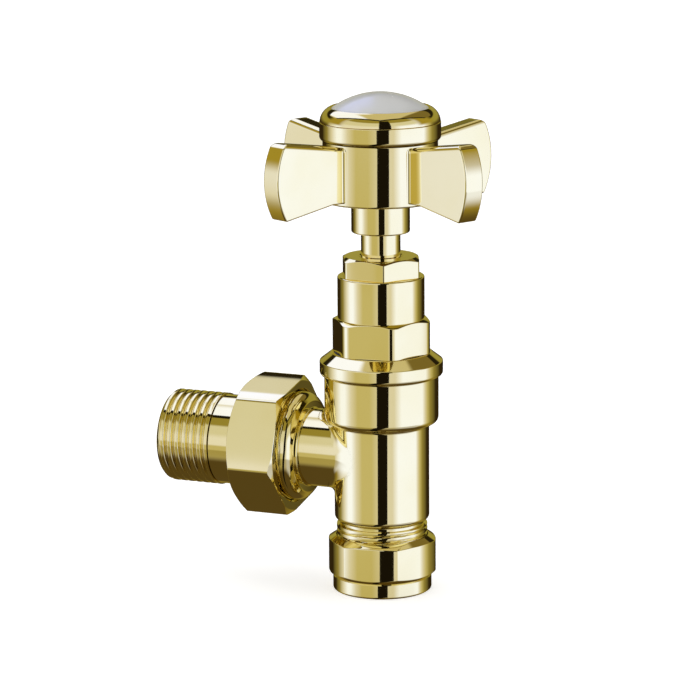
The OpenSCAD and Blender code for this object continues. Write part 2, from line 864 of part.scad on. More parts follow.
// Ring round the button, with a skirt in the hub's bore and a groove for its seal
module cap_ring() {
    groove_half = cap_seal_w / 2 + fit_room;
    lip_inner_r = button_r + fit_room;
    color("gold")
    turned(concat(
        [[skirt_r, ring_z]],
        bulged([band_r, ring_z], [lip_inner_r + ring_top_w, ring_top], ring_bulge),
        [
            [lip_inner_r, ring_top],
            [lip_inner_r, button_z],
            [skirt_inner_r, button_z],
            [skirt_inner_r, skirt_z],
            [skirt_r, skirt_z],
            [skirt_r, cap_groove_z - groove_half],
            [cap_groove_r, cap_groove_z - groove_half],
            [cap_groove_r, cap_groove_z + groove_half],
            [skirt_r, cap_groove_z + groove_half]
        ]
    ));
}

module cap_o_ring() {
    color("black")
    translate([0, 0, cap_groove_z]) round_ring(cap_groove_r + cap_seal_w / 2, cap_seal_w / 2);
}

module ceramic_button() {
    dome_r = (button_r * button_r + dome_h * dome_h) / (2 * dome_h);
    dome_angle = asin(button_r / dome_r);
    color("white")
    turned(concat(
        [[0, button_z], [button_r, button_z]],
        arc([0, rim_z + dome_h - dome_r], dome_r, 90 - dome_angle, 90, 14)
    ));
}

module union_nut() {
    corner = corner_r(union_flat_r);
    hole_r = tail_r + seat_room;
    color("gold")
    on_branch()
    difference() {
        intersection() {
            hex_bar(union_flat_r, union_nut_at, union_nut_end - union_nut_at, union_turn);
            turned([
                [0, union_nut_at],
                [corner - union_front_chamfer / tan(union_slope), union_nut_at],
                [corner, union_nut_at + union_front_chamfer],
                [corner, union_nut_end - union_back_chamfer],
                [corner - union_back_chamfer / tan(union_slope), union_nut_end],
                [0, union_nut_end]
            ]);
        }
        turned([
            [0, union_nut_at - cut],
            [union_bore_r + edge, union_nut_at - cut],
            [union_bore_r + edge, union_nut_at],
            [union_bore_r, union_nut_at + edge],
            [union_bore_r, union_lip_at],
            [hole_r, union_lip_at],
            [hole_r, union_nut_end + cut],
            [0, union_nut_end + cut]
        ]);
    }
}

module tailpiece() {
    thread_r = tail_thread_d / 2;
    tip_at = tail_collar_at - tail_cone_len;
    groove_r = tail_ring_r - tail_ring_w / 2 - fit_room / 2;
    groove_from = tail_ring_at - tail_ring_w / 2 - fit_room;
    groove_to = tail_ring_at + tail_ring_w / 2 + fit_room;
    color("gold")
    on_branch()
    difference() {
        turned(concat(
            [
                [0, tip_at],
                [cone_tip_r, tip_at],
                [cone_tip_r + (groove_from - tip_at) * cone_slope, groove_from],
                [groove_r, groove_from],
                [groove_r, groove_to],
                [cone_tip_r + (groove_to - tip_at) * cone_slope, groove_to],
                [cone_base_r, tail_collar_at],
                [tail_collar_r, tail_collar_at],
                [tail_collar_r, tail_collar_end],
                [tail_r, tail_collar_end],
                [tail_r, tail_thread_at]
            ],
            grooved(thread_r, tail_thread_at, tail_end - tail_chamfer, tail_pitch, tail_thread_depth),
            [[thread_r - tail_chamfer, tail_end], [0, tail_end]]
        ));
        hex_bar(tail_key_af / 2, tip_at - cut, union_nut_end);
        translate([0, 0, union_nut_end - seat_room]) cylinder(r = tail_r - tail_wall, h = tail_end);
    }
}

module tail_o_ring() {
    color("black")
    on_branch() translate([0, 0, tail_ring_at]) round_ring(tail_ring_r, tail_ring_w / 2);
}

module compression_nut() {
    skirt_r = nut_flat_r;
    top_r = nut_corner_r - nut_top_chamfer / tan(nut_slope);
    color("gold")
    difference() {
        union() {
            turned(concat(
                [[0, 0]],
                arc([skirt_r - nut_skirt_edge, nut_skirt_edge], nut_skirt_edge, -90, 0, 4),
                [[skirt_r, nut_skirt_h], [0, nut_skirt_h]]
            ));
            intersection() {
                hex_bar(nut_flat_r, nut_skirt_h, nut_hex_h, nut_turn);
                turned([
                    [0, nut_skirt_h],
                    [skirt_r, nut_skirt_h],
                    [nut_corner_r, nut_skirt_h + nut_foot_chamfer],
                    [nut_corner_r, nut_top - nut_top_chamfer],
                    [top_r, nut_top],
                    [0, nut_top]
                ]);
            }
        }
        turned([
            [0, -cut],
            [pipe_r, -cut],
            [pipe_r, nut_skirt_h],
            [olive_end_r + seat_room, nut_skirt_h],
            [olive_r + seat_room, olive_mid_z],
            [nut_bore_r, olive_mid_z],
            [nut_bore_r, nut_top + cut],
            [0, nut_top + cut]
        ]);
    }
}

module olive() {
    color("goldenrod")
    difference() {
        turned([
            [0, olive_z],
            [olive_end_r, olive_z],
            [olive_r, olive_mid_z],
            [olive_r, spigot_z - fit_room],
            [olive_end_r, olive_end_z],
            [0, olive_end_z]
        ]);
        translate([0, 0, -cut]) cylinder(r = pipe_r, h = nut_top);
    }
}

valve_body();
bonnet();
bonnet_seal();
gland_nut();
gland_follower();
gland_packing();
spindle();
disc_pin();
valve_disc();
disc_washer();
disc_nut();
crosshead();
handle_screw();
screw_washer();
cap_ring();
cap_o_ring();
ceramic_button();
union_nut();
tailpiece();
tail_o_ring();
compression_nut();
olive();
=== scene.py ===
from math import asin, atan2, cos, degrees, pi, radians, sin, sqrt, tan

import bmesh
import bpy
import numpy as np
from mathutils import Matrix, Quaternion, Vector


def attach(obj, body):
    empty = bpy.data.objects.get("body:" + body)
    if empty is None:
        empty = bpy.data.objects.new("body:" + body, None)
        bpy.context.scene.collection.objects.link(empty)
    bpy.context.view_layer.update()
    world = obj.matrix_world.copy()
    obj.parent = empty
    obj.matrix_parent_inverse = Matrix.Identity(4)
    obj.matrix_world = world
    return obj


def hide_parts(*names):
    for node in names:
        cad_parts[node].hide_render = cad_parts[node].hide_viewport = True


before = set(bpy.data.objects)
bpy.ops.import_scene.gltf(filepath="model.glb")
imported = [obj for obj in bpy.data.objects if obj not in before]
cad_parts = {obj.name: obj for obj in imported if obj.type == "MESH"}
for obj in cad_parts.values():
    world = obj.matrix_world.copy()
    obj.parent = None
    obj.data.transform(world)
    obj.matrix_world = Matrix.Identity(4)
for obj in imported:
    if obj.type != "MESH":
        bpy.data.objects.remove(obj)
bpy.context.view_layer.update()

# Camera. It stands 23 degrees to the right of the valve's front and 12 degrees above level, with a
# long lens, and looks a little to the left of the spindle so that the radiator tail fits in.
TURN, TILT = radians(23.0), radians(12.0)
LOOK_BACK = Vector((sin(TURN) * cos(TILT), -cos(TURN) * cos(TILT), sin(TILT)))
TO_RIGHT = Vector((cos(TURN), sin(TURN), 0.0))
TO_FRONT = Vector((sin(TURN), -cos(TURN), 0.0))
AIM = Vector((0.0, 0.0, 0.0542)) - 0.0069 * TO_RIGHT
camera = bpy.data.objects.new("camera", bpy.data.cameras.new("camera"))
camera.data.sensor_width = 36.0
camera.data.lens = 174.7
camera.data.clip_start = 0.05
camera.data.clip_end = 20.0
camera.location = AIM + 0.75 * LOOK_BACK
ROLL = radians(-0.4)
camera.rotation_euler = ((-LOOK_BACK).to_track_quat("-Z", "Y") @ Quaternion((0, 0, 1), ROLL)).to_euler()
bpy.context.scene.collection.objects.link(camera)
bpy.context.scene.camera = camera
bpy.context.scene.view_settings.view_transform = "Standard"


# Studio light. Polished brass shows little but the room round it, so the room is painted: a wide
# white panel to the right, a narrow one to the left, a box overhead, gold and cream walls between
# them, a dark floor line and a black card beside the lens. Matt surfaces get the same light as grey.
class Wire:
    """One socket in a node tree. Arithmetic on wires adds Math nodes, node() adds any other."""

    def __init__(self, tree, socket=None):
        self.tree, self.socket = tree, socket

    def node(self, kind, settings=None, inputs=None, output=0):
        """Adds a node of that kind with its settings, then fills its inputs with values or wires."""
        new = self.tree.nodes.new("ShaderNode" + kind)
        for name, value in (settings or {}).items():
            if name == "stops":
                ramp = new.color_ramp.elements
                for place, _ in value[1:-1]:
                    ramp.new(place)
                for stop, (place, colour) in zip(ramp, value):
                    stop.position, stop.color = place, (*colour, 1.0)
            else:
                setattr(new, name, value)
        for name, value in (inputs or {}).items():
            if isinstance(value, Wire):
                self.tree.links.new(value.socket, new.inputs[name])
            else:
                new.inputs[name].default_value = value
        return Wire(self.tree, new.outputs[output] if new.outputs else None)

    def math(self, operation, *values):
        return self.node("Math", {"operation": operation}, dict(enumerate(values)))

    def __add__(self, other):
        return self.math("ADD", self, other)

    def __sub__(self, other):
        return self.math("SUBTRACT", self, other)

    def __rsub__(self, other):
        return self.math("SUBTRACT", other, self)

    def __mul__(self, other):
        return self.math("MULTIPLY", self, other)

    def __truediv__(self, other):
        return self.math("DIVIDE", self, other)

    __radd__ = __add__
    __rmul__ = __mul__

    def rise(self, low, high):
        """0 below low, 1 above high, and a smooth ramp between them."""
        return self.node(
            "MapRange",
            {"interpolation_type": "SMOOTHSTEP"},
            {"Value": self, "From Min": low, "From Max": high},
        )

    def within(self, low, high, soft):
        """1 between low and high, 0 outside, with edges that are soft wide."""
        edge = soft / 2
        return self.rise(low - edge, low + edge) * (1.0 - self.rise(high - edge, high + edge))

    def mix(self, first, second):
        """The colour first where this wire is 0 and second where it is 1."""
        ends = [c if isinstance(c, Wire) else (*c, 1.0) for c in (first, second)]
        return self.node("Mix", {"data_type": "RGBA"}, {0: self, 6: ends[0], 7: ends[1]}, output=2)


world = bpy.data.worlds.new("studio")
bpy.context.scene.world = world
world.use_nodes = True
room = Wire(world.node_tree)
room.tree.nodes.clear()
ray = room.node("TexCoord")


def share(axis):
    """How far the direction of sight goes along an axis, from -1 to 1."""
    return ray.node("VectorMath", {"operation": "DOT_PRODUCT"}, {0: ray, 1: axis}, output=1)


ahead, aside, up = share(TO_FRONT), share(TO_RIGHT), share((0.0, 0.0, 1.0))
around = ahead.math("ARCTAN2", aside, ahead) * degrees(1.0)
height = up.math("ARCSINE", up) * degrees(1.0)
GLARE, SOFT = 5.0, 1.5
BLACK, OLIVE, GOLD = (0.03, 0.02, 0.01), (0.32, 0.29, 0.14), (0.62, 0.60, 0.55)
CREAM, WHITE = (0.80, 0.84, 1.5), (1.1, 1.3, 3.5)
WALLS = [
    (-140, BLACK),
    (-120, OLIVE),
    (-105, CREAM),
    (-90, WHITE),
    (-80, WHITE),
    (-65, CREAM),
    (-50, GOLD),
    (-25, GOLD),
    (0, CREAM),
    (25, CREAM),
    (40, WHITE),
    (90, WHITE),
    (98, CREAM),
    (105, GOLD),
    (115, OLIVE),
    (140, BLACK),
]


def glare(*colour):
    """The colour that the room needs, as a share of GLARE, for brass to show the given one."""
    return tuple(c * k / GLARE for c, k in zip(colour, (0.978, 0.93, 0.653)))


stops = [((a + 180) / 360, glare(*colour)) for a, colour in WALLS]
place = (around + 180.0) / 360.0
light = place.node("ValToRGB", {"stops": stops}, {0: place})
lean = around - (height.math("MINIMUM", height, 0.0) + 12.0) * 0.55
flag = lean.within(-9.5, 14.0, 1.0)

facing = 1.0 - around.math("ABSOLUTE", around).rise(72.0, 90.0)
left = facing * (1.0 - around.rise(0.0, 30.0))
light = (height.rise(-8.0, -3.0) * left).mix(light, glare(0.90, 0.97, 1.95))
light = (height.rise(10.0, 24.0) * facing).mix(light, glare(0.76, 0.80, 1.25))
light = (height.rise(0.0, 14.0) * (1.0 - facing)).mix(light, glare(0.40, 0.33, 0.08))
rear = height.rise(-4.0, 8.0).mix(glare(0.07, 0.05, 0.02), glare(0.36, 0.34, 0.12))
rear = height.rise(17.0, 21.0).mix(rear, glare(0.02, 0.016, 0.010))
rear = (height.rise(28.5, 31.5) * (1.0 - aside.rise(0.02, 0.08))).mix(rear, glare(0.76, 0.80, 1.3))
behind = around.math("ABSOLUTE", around).rise(110.0, 130.0) * height.rise(-8.0, -2.0)
light = behind.mix(light, rear)
light = (0.6 * facing * (1.0 - height.rise(-18.5, -15.5))).mix(light, glare(0.30, 0.25, 0.07))
light = ((1.0 - facing) * (1.0 - height.rise(-36.0, -18.0))).mix(light, glare(0.36, 0.29, 0.08))
light = (1.0 - height.rise(-46.0, -30.0)).mix(light, glare(0.10, 0.072, 0.035))
light = (height.rise(37.0, 43.0) * facing).mix(light, glare(0.34, 0.30, 0.11))
roof = up.math("MAXIMUM", up, 0.05)
along, across = ahead / roof, aside / roof
tent = along + across.math("ABSOLUTE", across) * 0.8
light = (flag * (1.0 - height.rise(52.0, 56.0))).mix(light, glare(0.010, 0.008, 0.008))
overhead = height.rise(20.0, 24.0) * (1.0 - tent.rise(0.70, 0.74))
gold = across.rise(0.42, 0.52).mix(glare(0.66, 0.64, 0.74), glare(0.21, 0.17, 0.08))
wide = across.within(-1.3, -0.1, 0.1) * (1.0 - along.rise(-0.6, -0.4))
narrow = across.within(-1.3, -0.32, 0.12)
box = wide.math("MAXIMUM", wide, narrow)
top_box = box.mix(gold, glare(1.12, 1.32, 3.75))
top_box = (tent.rise(0.50, 0.54)).mix(top_box, glare(0.012, 0.010, 0.008))
overhead = overhead * along.rise(-1.55, -1.45)
overhead = overhead * across.rise(-1.5, -1.4) * (1.0 - across.rise(1.5, 1.7))
light = overhead.mix(light, top_box)
glossy = room.node("LightPath", output=3)
level = light.node("SeparateColor", {}, {0: light}) * SOFT
light = glossy.mix(light.node("CombineColor", {}, {0: level, 1: level, 2: level}), light)
background = light.node("Background", {}, {"Color": light, "Strength": GLARE})
room.node("OutputWorld", {}, {"Surface": background})

# Floor and backdrop. A white table and a white wall, overexposed as in a cut-out product picture,
# so only the soft shadow under the valve's foot shows. The brass doesn't mirror them.


def disc_mesh(name, radius, height_at, rings=24, spokes=96):
    """A round sheet: each ring of points lies at height_at(distance from the middle)."""
    far = np.linspace(0.0, 1.0, rings + 1)[:, None] * radius
    turn = np.linspace(0.0, 2 * pi, spokes, endpoint=False)[None, :]
    points = np.stack([far * np.cos(turn), far * np.sin(turn), height_at(far) + 0.0 * turn], -1)
    index = np.arange(points[..., 0].size).reshape(rings + 1, spokes)
    ring = np.roll(index, -1, 1)
    quads = np.stack([index[:-1], index[1:], ring[1:], ring[:-1]], -1).reshape(-1, 4)
    mesh = bpy.data.meshes.new(name)
    mesh.from_pydata(points.reshape(-1, 3).tolist(), [], quads.tolist())
    made = bpy.data.objects.new(name, mesh)
    bpy.context.scene.collection.objects.link(made)
    return made


def stage_paint(name, colour, glow):
    """A matt paint with a little light of its own, with a very faint mottling."""
    paint = bpy.data.materials.new(name)
    paint.use_nodes = True
    base = Wire(paint.node_tree)
    base.tree.nodes.clear()
    place = base.node("TexCoord", output=3)
    mottle = base.node("TexNoise", {}, {"Vector": place, "Scale": 6.0}).rise(0.3, 0.7)
    shade = mottle.mix(tuple(0.98 * c for c in colour), colour)
    matt = base.node(
        "BsdfPrincipled",
        {},
        {
            "Base Color": shade,
            "Roughness": 0.9,
            "Specular IOR Level": 0.0,
            "Emission Color": (1.0, 1.0, 1.0, 1.0),
            "Emission Strength": glow,
        },
    )
    base.node("OutputMaterial", {}, {"Surface": matt})
    return paint


floor = disc_mesh("floor", 4.0, lambda far: 0.0 * far)
floor.data.materials.append(stage_paint("floor_paint", (0.86, 0.86, 0.86), 0.55))
backdrop = disc_mesh("backdrop", 6.0, lambda far: -2.0 + np.sqrt(np.maximum(36.0 - far**2, 0.0)) * 0.9)
backdrop.data.materials.append(stage_paint("backdrop_paint", (0.9, 0.9, 0.9), 1.2))
floor.visible_glossy = False
for ray_kind in ("diffuse", "glossy", "transmission", "shadow"):
    setattr(backdrop, "visible_" + ray_kind, False)

# Valve body. One brass forging, turned and polished: the threaded foot for the compression nut, the
# tube, the cup and flange that take the bonnet, and the side branch with the union's thread. The
# branch grows out of the tube through a rounded root.
MM = 0.001
COLUMNS = 288
BRANCH_Z = 30.8


def unit(v):
    return v / np.maximum(np.linalg.norm(v, axis=-1, keepdims=True), 1e-12)


def soften(corners, radii, steps=6, hold=0.06):
    """Rows of a closed profile whose corners are rounded. An arc of each corner's radius touches
    both of its sides, and a point on each side close to the arc keeps the flat beside it flat."""
    corners = np.asarray(corners, float)
    if corners.ndim == 2:
        corners = corners[:, None, :]
    rows = []
    for i, radius in enumerate(radii):
        corner = corners[i]
        if radius == 0:
            rows.append(corner)
            continue
        before, after = unit(corners[i - 1] - corner), unit(corners[(i + 1) % len(corners)] - corner)
        half = np.arccos(np.clip((before * after).sum(-1, keepdims=True), -1, 1)) / 2
        centre = corner + unit(before + after) * radius / np.sin(half)
        first, last = corner + before * radius / np.tan(half), corner + after * radius / np.tan(half)
        sweep = pi - 2 * half
        rows.append(first + before * hold)
        for t in np.linspace(0, 1, steps + 1):
            blend = np.sin((1 - t) * sweep) * (first - centre) + np.sin(t * sweep) * (last - centre)
            rows.append(centre + blend / np.sin(sweep))
        rows.append(last + after * hold)
    width = max(len(r) for r in rows)
    return np.stack([np.broadcast_to(r, (width, 2)) for r in rows])


def angles(count=COLUMNS):
    return np.linspace(0, 2 * pi, count, endpoint=False)


def upright(rows, turn):
    """Points of rows of radius and height, turned round the upright axis."""
    r, z = rows[..., 0], rows[..., 1]
    return np.stack([r * np.cos(turn), r * np.sin(turn), z + 0 * turn], -1) * MM


def sideways(rows, turn):
    """Points of rows of radius and distance, turned round the branch's axis, which points to -X.
    A turn of 0 is the top."""
    r, s = rows[..., 0], rows[..., 1]
    return np.stack([-s + 0 * turn, r * np.sin(turn), BRANCH_Z + r * np.cos(turn)], -1) * MM


def shell(points, leave_out=None):
    """Quads of a grid whose rows are closed rings and whose last row joins the first, turned so
    that they face outwards."""
    rows, columns = points.shape[:2]
    index = np.arange(rows * columns).reshape(rows, columns)
    down = np.roll(index, -1, 0)
    quads = np.stack([index, np.roll(index, -1, 1), np.roll(down, -1, 1), down], -1)
    if leave_out is not None:
        quads = quads[~leave_out]
    quads = quads.reshape(-1, 4)
    flat = points.reshape(-1, 3)
    a, b, c, d = (flat[quads[:, i]] for i in range(4))
    volume = (np.cross(a, b) * c).sum() + (np.cross(a, c) * d).sum()
    return flat, quads if volume > 0 else quads[:, ::-1]


def piece(name, shells, finishes, pick=None, sharp=38.0):
    """One object of one or more closed shells. pick says which finish each face takes, from its
    centre in millimetres and its normal."""
    points, quads, start = [], [], 0
    for flat, faces in shells:
        points.append(flat)
        quads.append(faces + start)
        start += len(flat)
    mesh = bpy.data.meshes.new(name)
    mesh.from_pydata(np.concatenate(points).tolist(), [], np.concatenate(quads).tolist())
    edit = bmesh.new()
    edit.from_mesh(mesh)
    bmesh.ops.remove_doubles(edit, verts=edit.verts, dist=2e-7)
    bmesh.ops.dissolve_degenerate(edit, dist=1e-7, edges=edit.edges)
    edit.to_mesh(mesh)
    edit.free()
    mesh.shade_smooth()
    mesh.set_sharp_from_angle(angle=radians(sharp))
    for finish in finishes:
        mesh.materials.append(finish)
    if pick is not None:
        count = len(mesh.polygons)
        centre, normal = np.empty(count * 3), np.empty(count * 3)
        mesh.polygons.foreach_get("center", centre)
        mesh.polygons.foreach_get("normal", normal)
        chosen = pick(centre.reshape(-1, 3) / MM, normal.reshape(-1, 3)).astype(np.int32)
        mesh.polygons.foreach_set("material_index", chosen)
    made = bpy.data.objects.new(name, mesh)
    bpy.context.scene.collection.objects.link(made)
    return made


def brass(name, colour, rough, wave, scratch, ring_axis=None):
    """Brass with a faint tarnish that varies over centimetres, polishing waves of a few
    millimetres, and fine scratches or turning rings."""
    metal = bpy.data.materials.new(name)
    metal.use_nodes = True
    base = Wire(metal.node_tree)
    base.tree.nodes.clear()
    place = base.node("TexCoord", output=3)
    cloud = base.node("TexNoise", {}, {"Vector": place, "Scale": 45.0, "Detail": 3.0}).rise(0.35, 0.7)
    tint = cloud.mix(colour, tuple(c * k for c, k in zip(colour, (0.97, 0.95, 0.86))))
    grain = base.node("TexNoise", {}, {"Vector": place, "Scale": 1400.0, "Detail": 2.0})
    broad = base.node("TexNoise", {}, {"Vector": place, "Scale": 120.0, "Detail": 1.0})
    roughness = rough * (0.8 + 0.4 * cloud) + grain * scratch * 0.05
    relief = broad * wave + grain * scratch
    if ring_axis is not None:
        rings = base.node(
            "TexWave",
            {"wave_type": "RINGS", "rings_direction": ring_axis},
            {"Vector": place, "Scale": 900.0, "Distortion": 1.5},
        )
        relief = relief + rings * 0.15 * scratch
    bump = base.node("Bump", {}, {"Height": relief, "Strength": 0.5, "Distance": 0.00004})
    surface = base.node(
        "BsdfPrincipled", {}, {"Base Color": tint, "Metallic": 1.0, "Roughness": roughness, "Normal": bump}
    )
    base.node("OutputMaterial", {}, {"Surface": surface})
    return metal


polished = brass("polished_brass", (0.90, 0.79, 0.36), 0.045, 0.25, 0.03)
machined = brass("machined_brass", (0.88, 0.78, 0.38), 0.12, 0.2, 0.12, "Z")


def cut_thread(turn, radius, low, high, pitch, depth, step=0.1, crest=0.5):
    """Rows of a screw thread at that radius between low and high. The groove winds once round for
    each pitch: slightly domed crests with smooth flanks between, fading in over the first and last
    half pitch. crest is the share of the pitch that the crests take."""
    place = np.arange(low, high + step / 2, step)[:, None]
    phase = np.abs(((place / pitch - turn / (2 * pi)) % 1.0) * 2 - 1)
    flank = np.clip((phase - crest) / (0.95 - crest), 0, 1)
    groove = 0.08 * phase**2 + 0.92 * flank * flank * (3 - 2 * flank)
    fade = np.clip((place - low) / (pitch / 2), 0, 1) * np.clip((high - place) / (pitch / 2), 0, 1)
    return np.stack([radius - depth * groove * fade, place + 0 * turn], -1)


FOOT_Z, FOOT_R, TUBE_Z, TUBE_R = 6.3, 10.1, 15.9, 10.55
CUP_Z, CUP_R, CUP_EDGE, FLANGE_Z, FLANGE_R = 38.0, 12.65, 1.4, 48.8, 13.65
turn = angles()
below = soften(
    [
        (7.6, 12.0),
        (7.6, 9.0),
        (8.9, FOOT_Z),
        (FOOT_R - 0.5, FOOT_Z),
        (FOOT_R, FOOT_Z + 0.5),
        (FOOT_R, 12.0),
    ],
    [0, 0, 0, 0.1, 0.1, 0],
)[1:-1]
below = np.broadcast_to(below, (len(below), COLUMNS, 2))
foot_thread = cut_thread(turn, FOOT_R, FOOT_Z + 0.7, TUBE_Z - 1.0, 1.3, 0.45)
outside = soften(
    [
        (8.0, TUBE_Z - 0.95),
        (9.4, TUBE_Z - 0.95),
        (9.4, TUBE_Z),
        (TUBE_R, TUBE_Z),
        (TUBE_R, CUP_Z),
        (CUP_R, CUP_Z),
        (CUP_R, FLANGE_Z),
        (FLANGE_R, FLANGE_Z),
        (FLANGE_R, 52.0),
        (11.15, 53.9),
        (10.45, 53.9),
        (10.0, 30.0),
    ],
    [0, 0.1, 0.25, 1.15, 0.65, CUP_EDGE, 0.2, 0.8, 0.35, 0.25, 0, 0],
)[1:-1]

# The window that the branch opens in the tube, as its lower and upper height and half its angle.
window, window_half = [24.6, 37.0], 44.0
split = int(np.argmax(outside[:, 0, 1] > window[0]))
outside = np.concatenate([outside[:split], [[(TUBE_R, z)] for z in window], outside[split:]])
outside = np.broadcast_to(outside, (len(outside), COLUMNS, 2))
inside = np.array(
    [
        (10.45, 52.7),
        (9.65, 52.7),
        (9.65, 44.0),
        (8.3, 44.0),
        (8.3, window[1]),
        (8.3, window[0]),
        (8.3, 22.9),
        (7.0, 22.9),
        (7.0, 24.2),
        (5.5, 24.2),
        (5.5, 20.0),
        (7.6, 20.0),
    ]
)[:, None, :]
inside = np.broadcast_to(inside, (len(inside), COLUMNS, 2))
body_rows = np.concatenate([below, foot_thread, outside, inside])
out_low = len(below) + len(foot_thread) + split
in_high = len(below) + len(foot_thread) + len(outside) + 4
first, last = (int(round((180 + a) / 360 * COLUMNS)) for a in (-window_half, window_half))
gone = np.zeros(body_rows.shape[:2], bool)
gone[out_low, first:last] = gone[in_high, first:last] = True
body_points = upright(body_rows, turn)
flat, quads = shell(body_points, gone)


def body_index(row, column):
    return row * COLUMNS + column


edge_columns = np.arange(first, last)
low_out, low_in = body_index(out_low, edge_columns), body_index(in_high + 1, edge_columns)
high_out, high_in = body_index(out_low + 1, edge_columns), body_index(in_high, edge_columns)
jambs = [
    [body_index(row, column) for row in rows]
    for column, rows in (
        (first, (out_low, in_high + 1, in_high, out_low + 1)),
        (last, (out_low, out_low + 1, in_high, in_high + 1)),
    )
]
frame_quads = np.concatenate(
    [
        np.stack([low_out, low_out + 1, low_in + 1, low_in], -1),
        np.stack([high_out, high_in, high_in + 1, high_out + 1], -1),
        np.array(jambs),
    ]
)
tube_shell = (flat, np.concatenate([quads, frame_quads]))

NECK_R, UNION_R, UNION_AT, UNION_END = 8.75, 12.2, 16.9, 26.5


def in_wall(radius):
    """Distance from the upright axis at which the branch ends inside the tube's wall, round the branch."""
    return np.sqrt(9.4**2 - (radius * np.sin(turn)) ** 2)


branch_rows = soften(
    [
        (6.2, 12.0),
        (6.2, 23.0),
        (7.0, 23.0),
        (9.4, UNION_END),
        (UNION_R - 0.5, UNION_END),
        (UNION_R, UNION_END - 0.5),
        (UNION_R, 20.0),
    ],
    [0, 0, 0, 0.15, 0.1, 0.1, 0],
)[1:-1]
branch_rows = np.broadcast_to(branch_rows, (len(branch_rows), COLUMNS, 2))
union_thread = cut_thread(turn, UNION_R, UNION_AT + 2.4, UNION_END - 0.7, 1.4, 0.8)[::-1]
root_rows = soften(
    [
        (UNION_R, 20.0),
        (UNION_R, UNION_AT + 1.3),
        (NECK_R + 1.5, UNION_AT + 0.1),
        (NECK_R, UNION_AT),
        (NECK_R, 12.0),
    ],
    [0, 2.2, 1.0, 0.3, 0],
)[1:-1]
root_rows = np.broadcast_to(root_rows, (len(root_rows), COLUMNS, 2))
ends = [np.stack([np.full(COLUMNS, r), in_wall(r)], -1)[None] for r in (NECK_R, 6.2)]
branch_shell = shell(sideways(np.concatenate([branch_rows, union_thread, root_rows, *ends]), turn))

ROOT_FILLET = 1.3


def body_gap(p):
    """Distance of points from the outside of the tube and the cup, negative inside."""
    rho = np.hypot(p[..., 0], p[..., 1])
    q = np.stack([rho - (CUP_R - CUP_EDGE), CUP_Z + CUP_EDGE - p[..., 2]], -1)
    cup = np.linalg.norm(np.maximum(q, 0), axis=-1) + np.minimum(q.max(-1), 0) - CUP_EDGE
    return np.minimum(rho - TUBE_R, cup)


def neck_gap(p):
    return np.hypot(p[..., 1], p[..., 2] - BRANCH_Z) - NECK_R


def rooted(p):
    """A rolling ball's surface between the body and the neck: the fillet's radius, less the length
    of how far each gap falls short of it."""
    short = np.stack([ROOT_FILLET - body_gap(p), ROOT_FILLET - neck_gap(p)], -1)
    return ROOT_FILLET - np.linalg.norm(np.maximum(short, 0), axis=-1)


across_root = np.linspace(0, 1, 25)[:, None]
spread_out = ROOT_FILLET + 0.35
swell = NECK_R + spread_out * (1 - np.cos(across_root * pi / 2)) + 0 * turn
sideward, upward = swell * np.sin(turn), BRANCH_Z + swell * np.cos(turn)
to_tube, to_cup = (np.sqrt(np.maximum(r**2 - sideward**2, 0.05)) for r in (TUBE_R, CUP_R))
reach = np.where(upward > CUP_Z + 0.3, to_cup, to_tube)
reach = reach + spread_out * (1 - np.sin(across_root * pi / 2))
collar = np.stack([-reach, sideward, upward], -1)
for _ in range(12):
    gap = rooted(collar)
    steps = np.eye(3) * 0.001
    slope = np.stack([(rooted(collar + h) - rooted(collar - h)) / 0.002 for h in steps], -1)
    collar = collar - gap[..., None] * slope / np.maximum((slope**2).sum(-1, keepdims=True), 0.05)
sunk = NECK_R - 0.6
sink = np.stack([-in_wall(NECK_R), sunk * np.sin(turn), BRANCH_Z + sunk * np.cos(turn)], -1)
foot = collar[-1] * np.array([0.96, 0.96, 1.0])
x, y, z = (collar[0, :, i] for i in range(3))
crown = np.stack([x, y * 0.97, BRANCH_Z + (z - BRANCH_Z) * 0.97], -1)
collar_shell = shell(np.concatenate([[crown], collar, [foot], [sink]]) * MM)


def body_finish(centre, normal):
    """The polished finish outside, the machined one on threads and bores."""
    far = np.hypot(centre[:, 0], centre[:, 1])
    bore = (far < 10.4) & (centre[:, 2] > TUBE_Z) | (far < 9.0) & (centre[:, 2] <= TUBE_Z)
    thread_zone = (centre[:, 0] < -UNION_AT - 4.5)
    return (bore & (centre[:, 0] > -10.2)) | thread_zone


body = piece("body_casting", [tube_shell, branch_shell, collar_shell], [polished, machined], body_finish)
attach(body, "valve")
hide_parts("valve_body")

# Inside the body. The olive that bites on the pipe is turned brass; the valve disc is brass with a
# rubber washer held under it by a small nut, and a steel pin keys it to the spindle.


def plain(name, colour, second, rough, scale, bump_height, metal=0.0, coat=0.0):
    """A finish of two near colours in soft patches, with fine relief of its own grain."""
    made = bpy.data.materials.new(name)
    made.use_nodes = True
    base = Wire(made.node_tree)
    base.tree.nodes.clear()
    place = base.node("TexCoord", output=3)
    patch = base.node("TexNoise", {}, {"Vector": place, "Scale": scale, "Detail": 3.0}).rise(0.3, 0.7)
    grain = base.node("TexNoise", {}, {"Vector": place, "Scale": scale * 12, "Detail": 2.0})
    bump = base.node("Bump", {}, {"Height": grain, "Strength": 0.4, "Distance": bump_height})
    surface = base.node(
        "BsdfPrincipled",
        {},
        {
            "Base Color": patch.mix(colour, second),
            "Roughness": rough * (0.85 + 0.3 * patch),
            "Metallic": metal,
            "Coat Weight": coat,
            "Coat Roughness": 0.03,
            "Normal": bump,
        },
    )
    base.node("OutputMaterial", {}, {"Surface": surface})
    return made


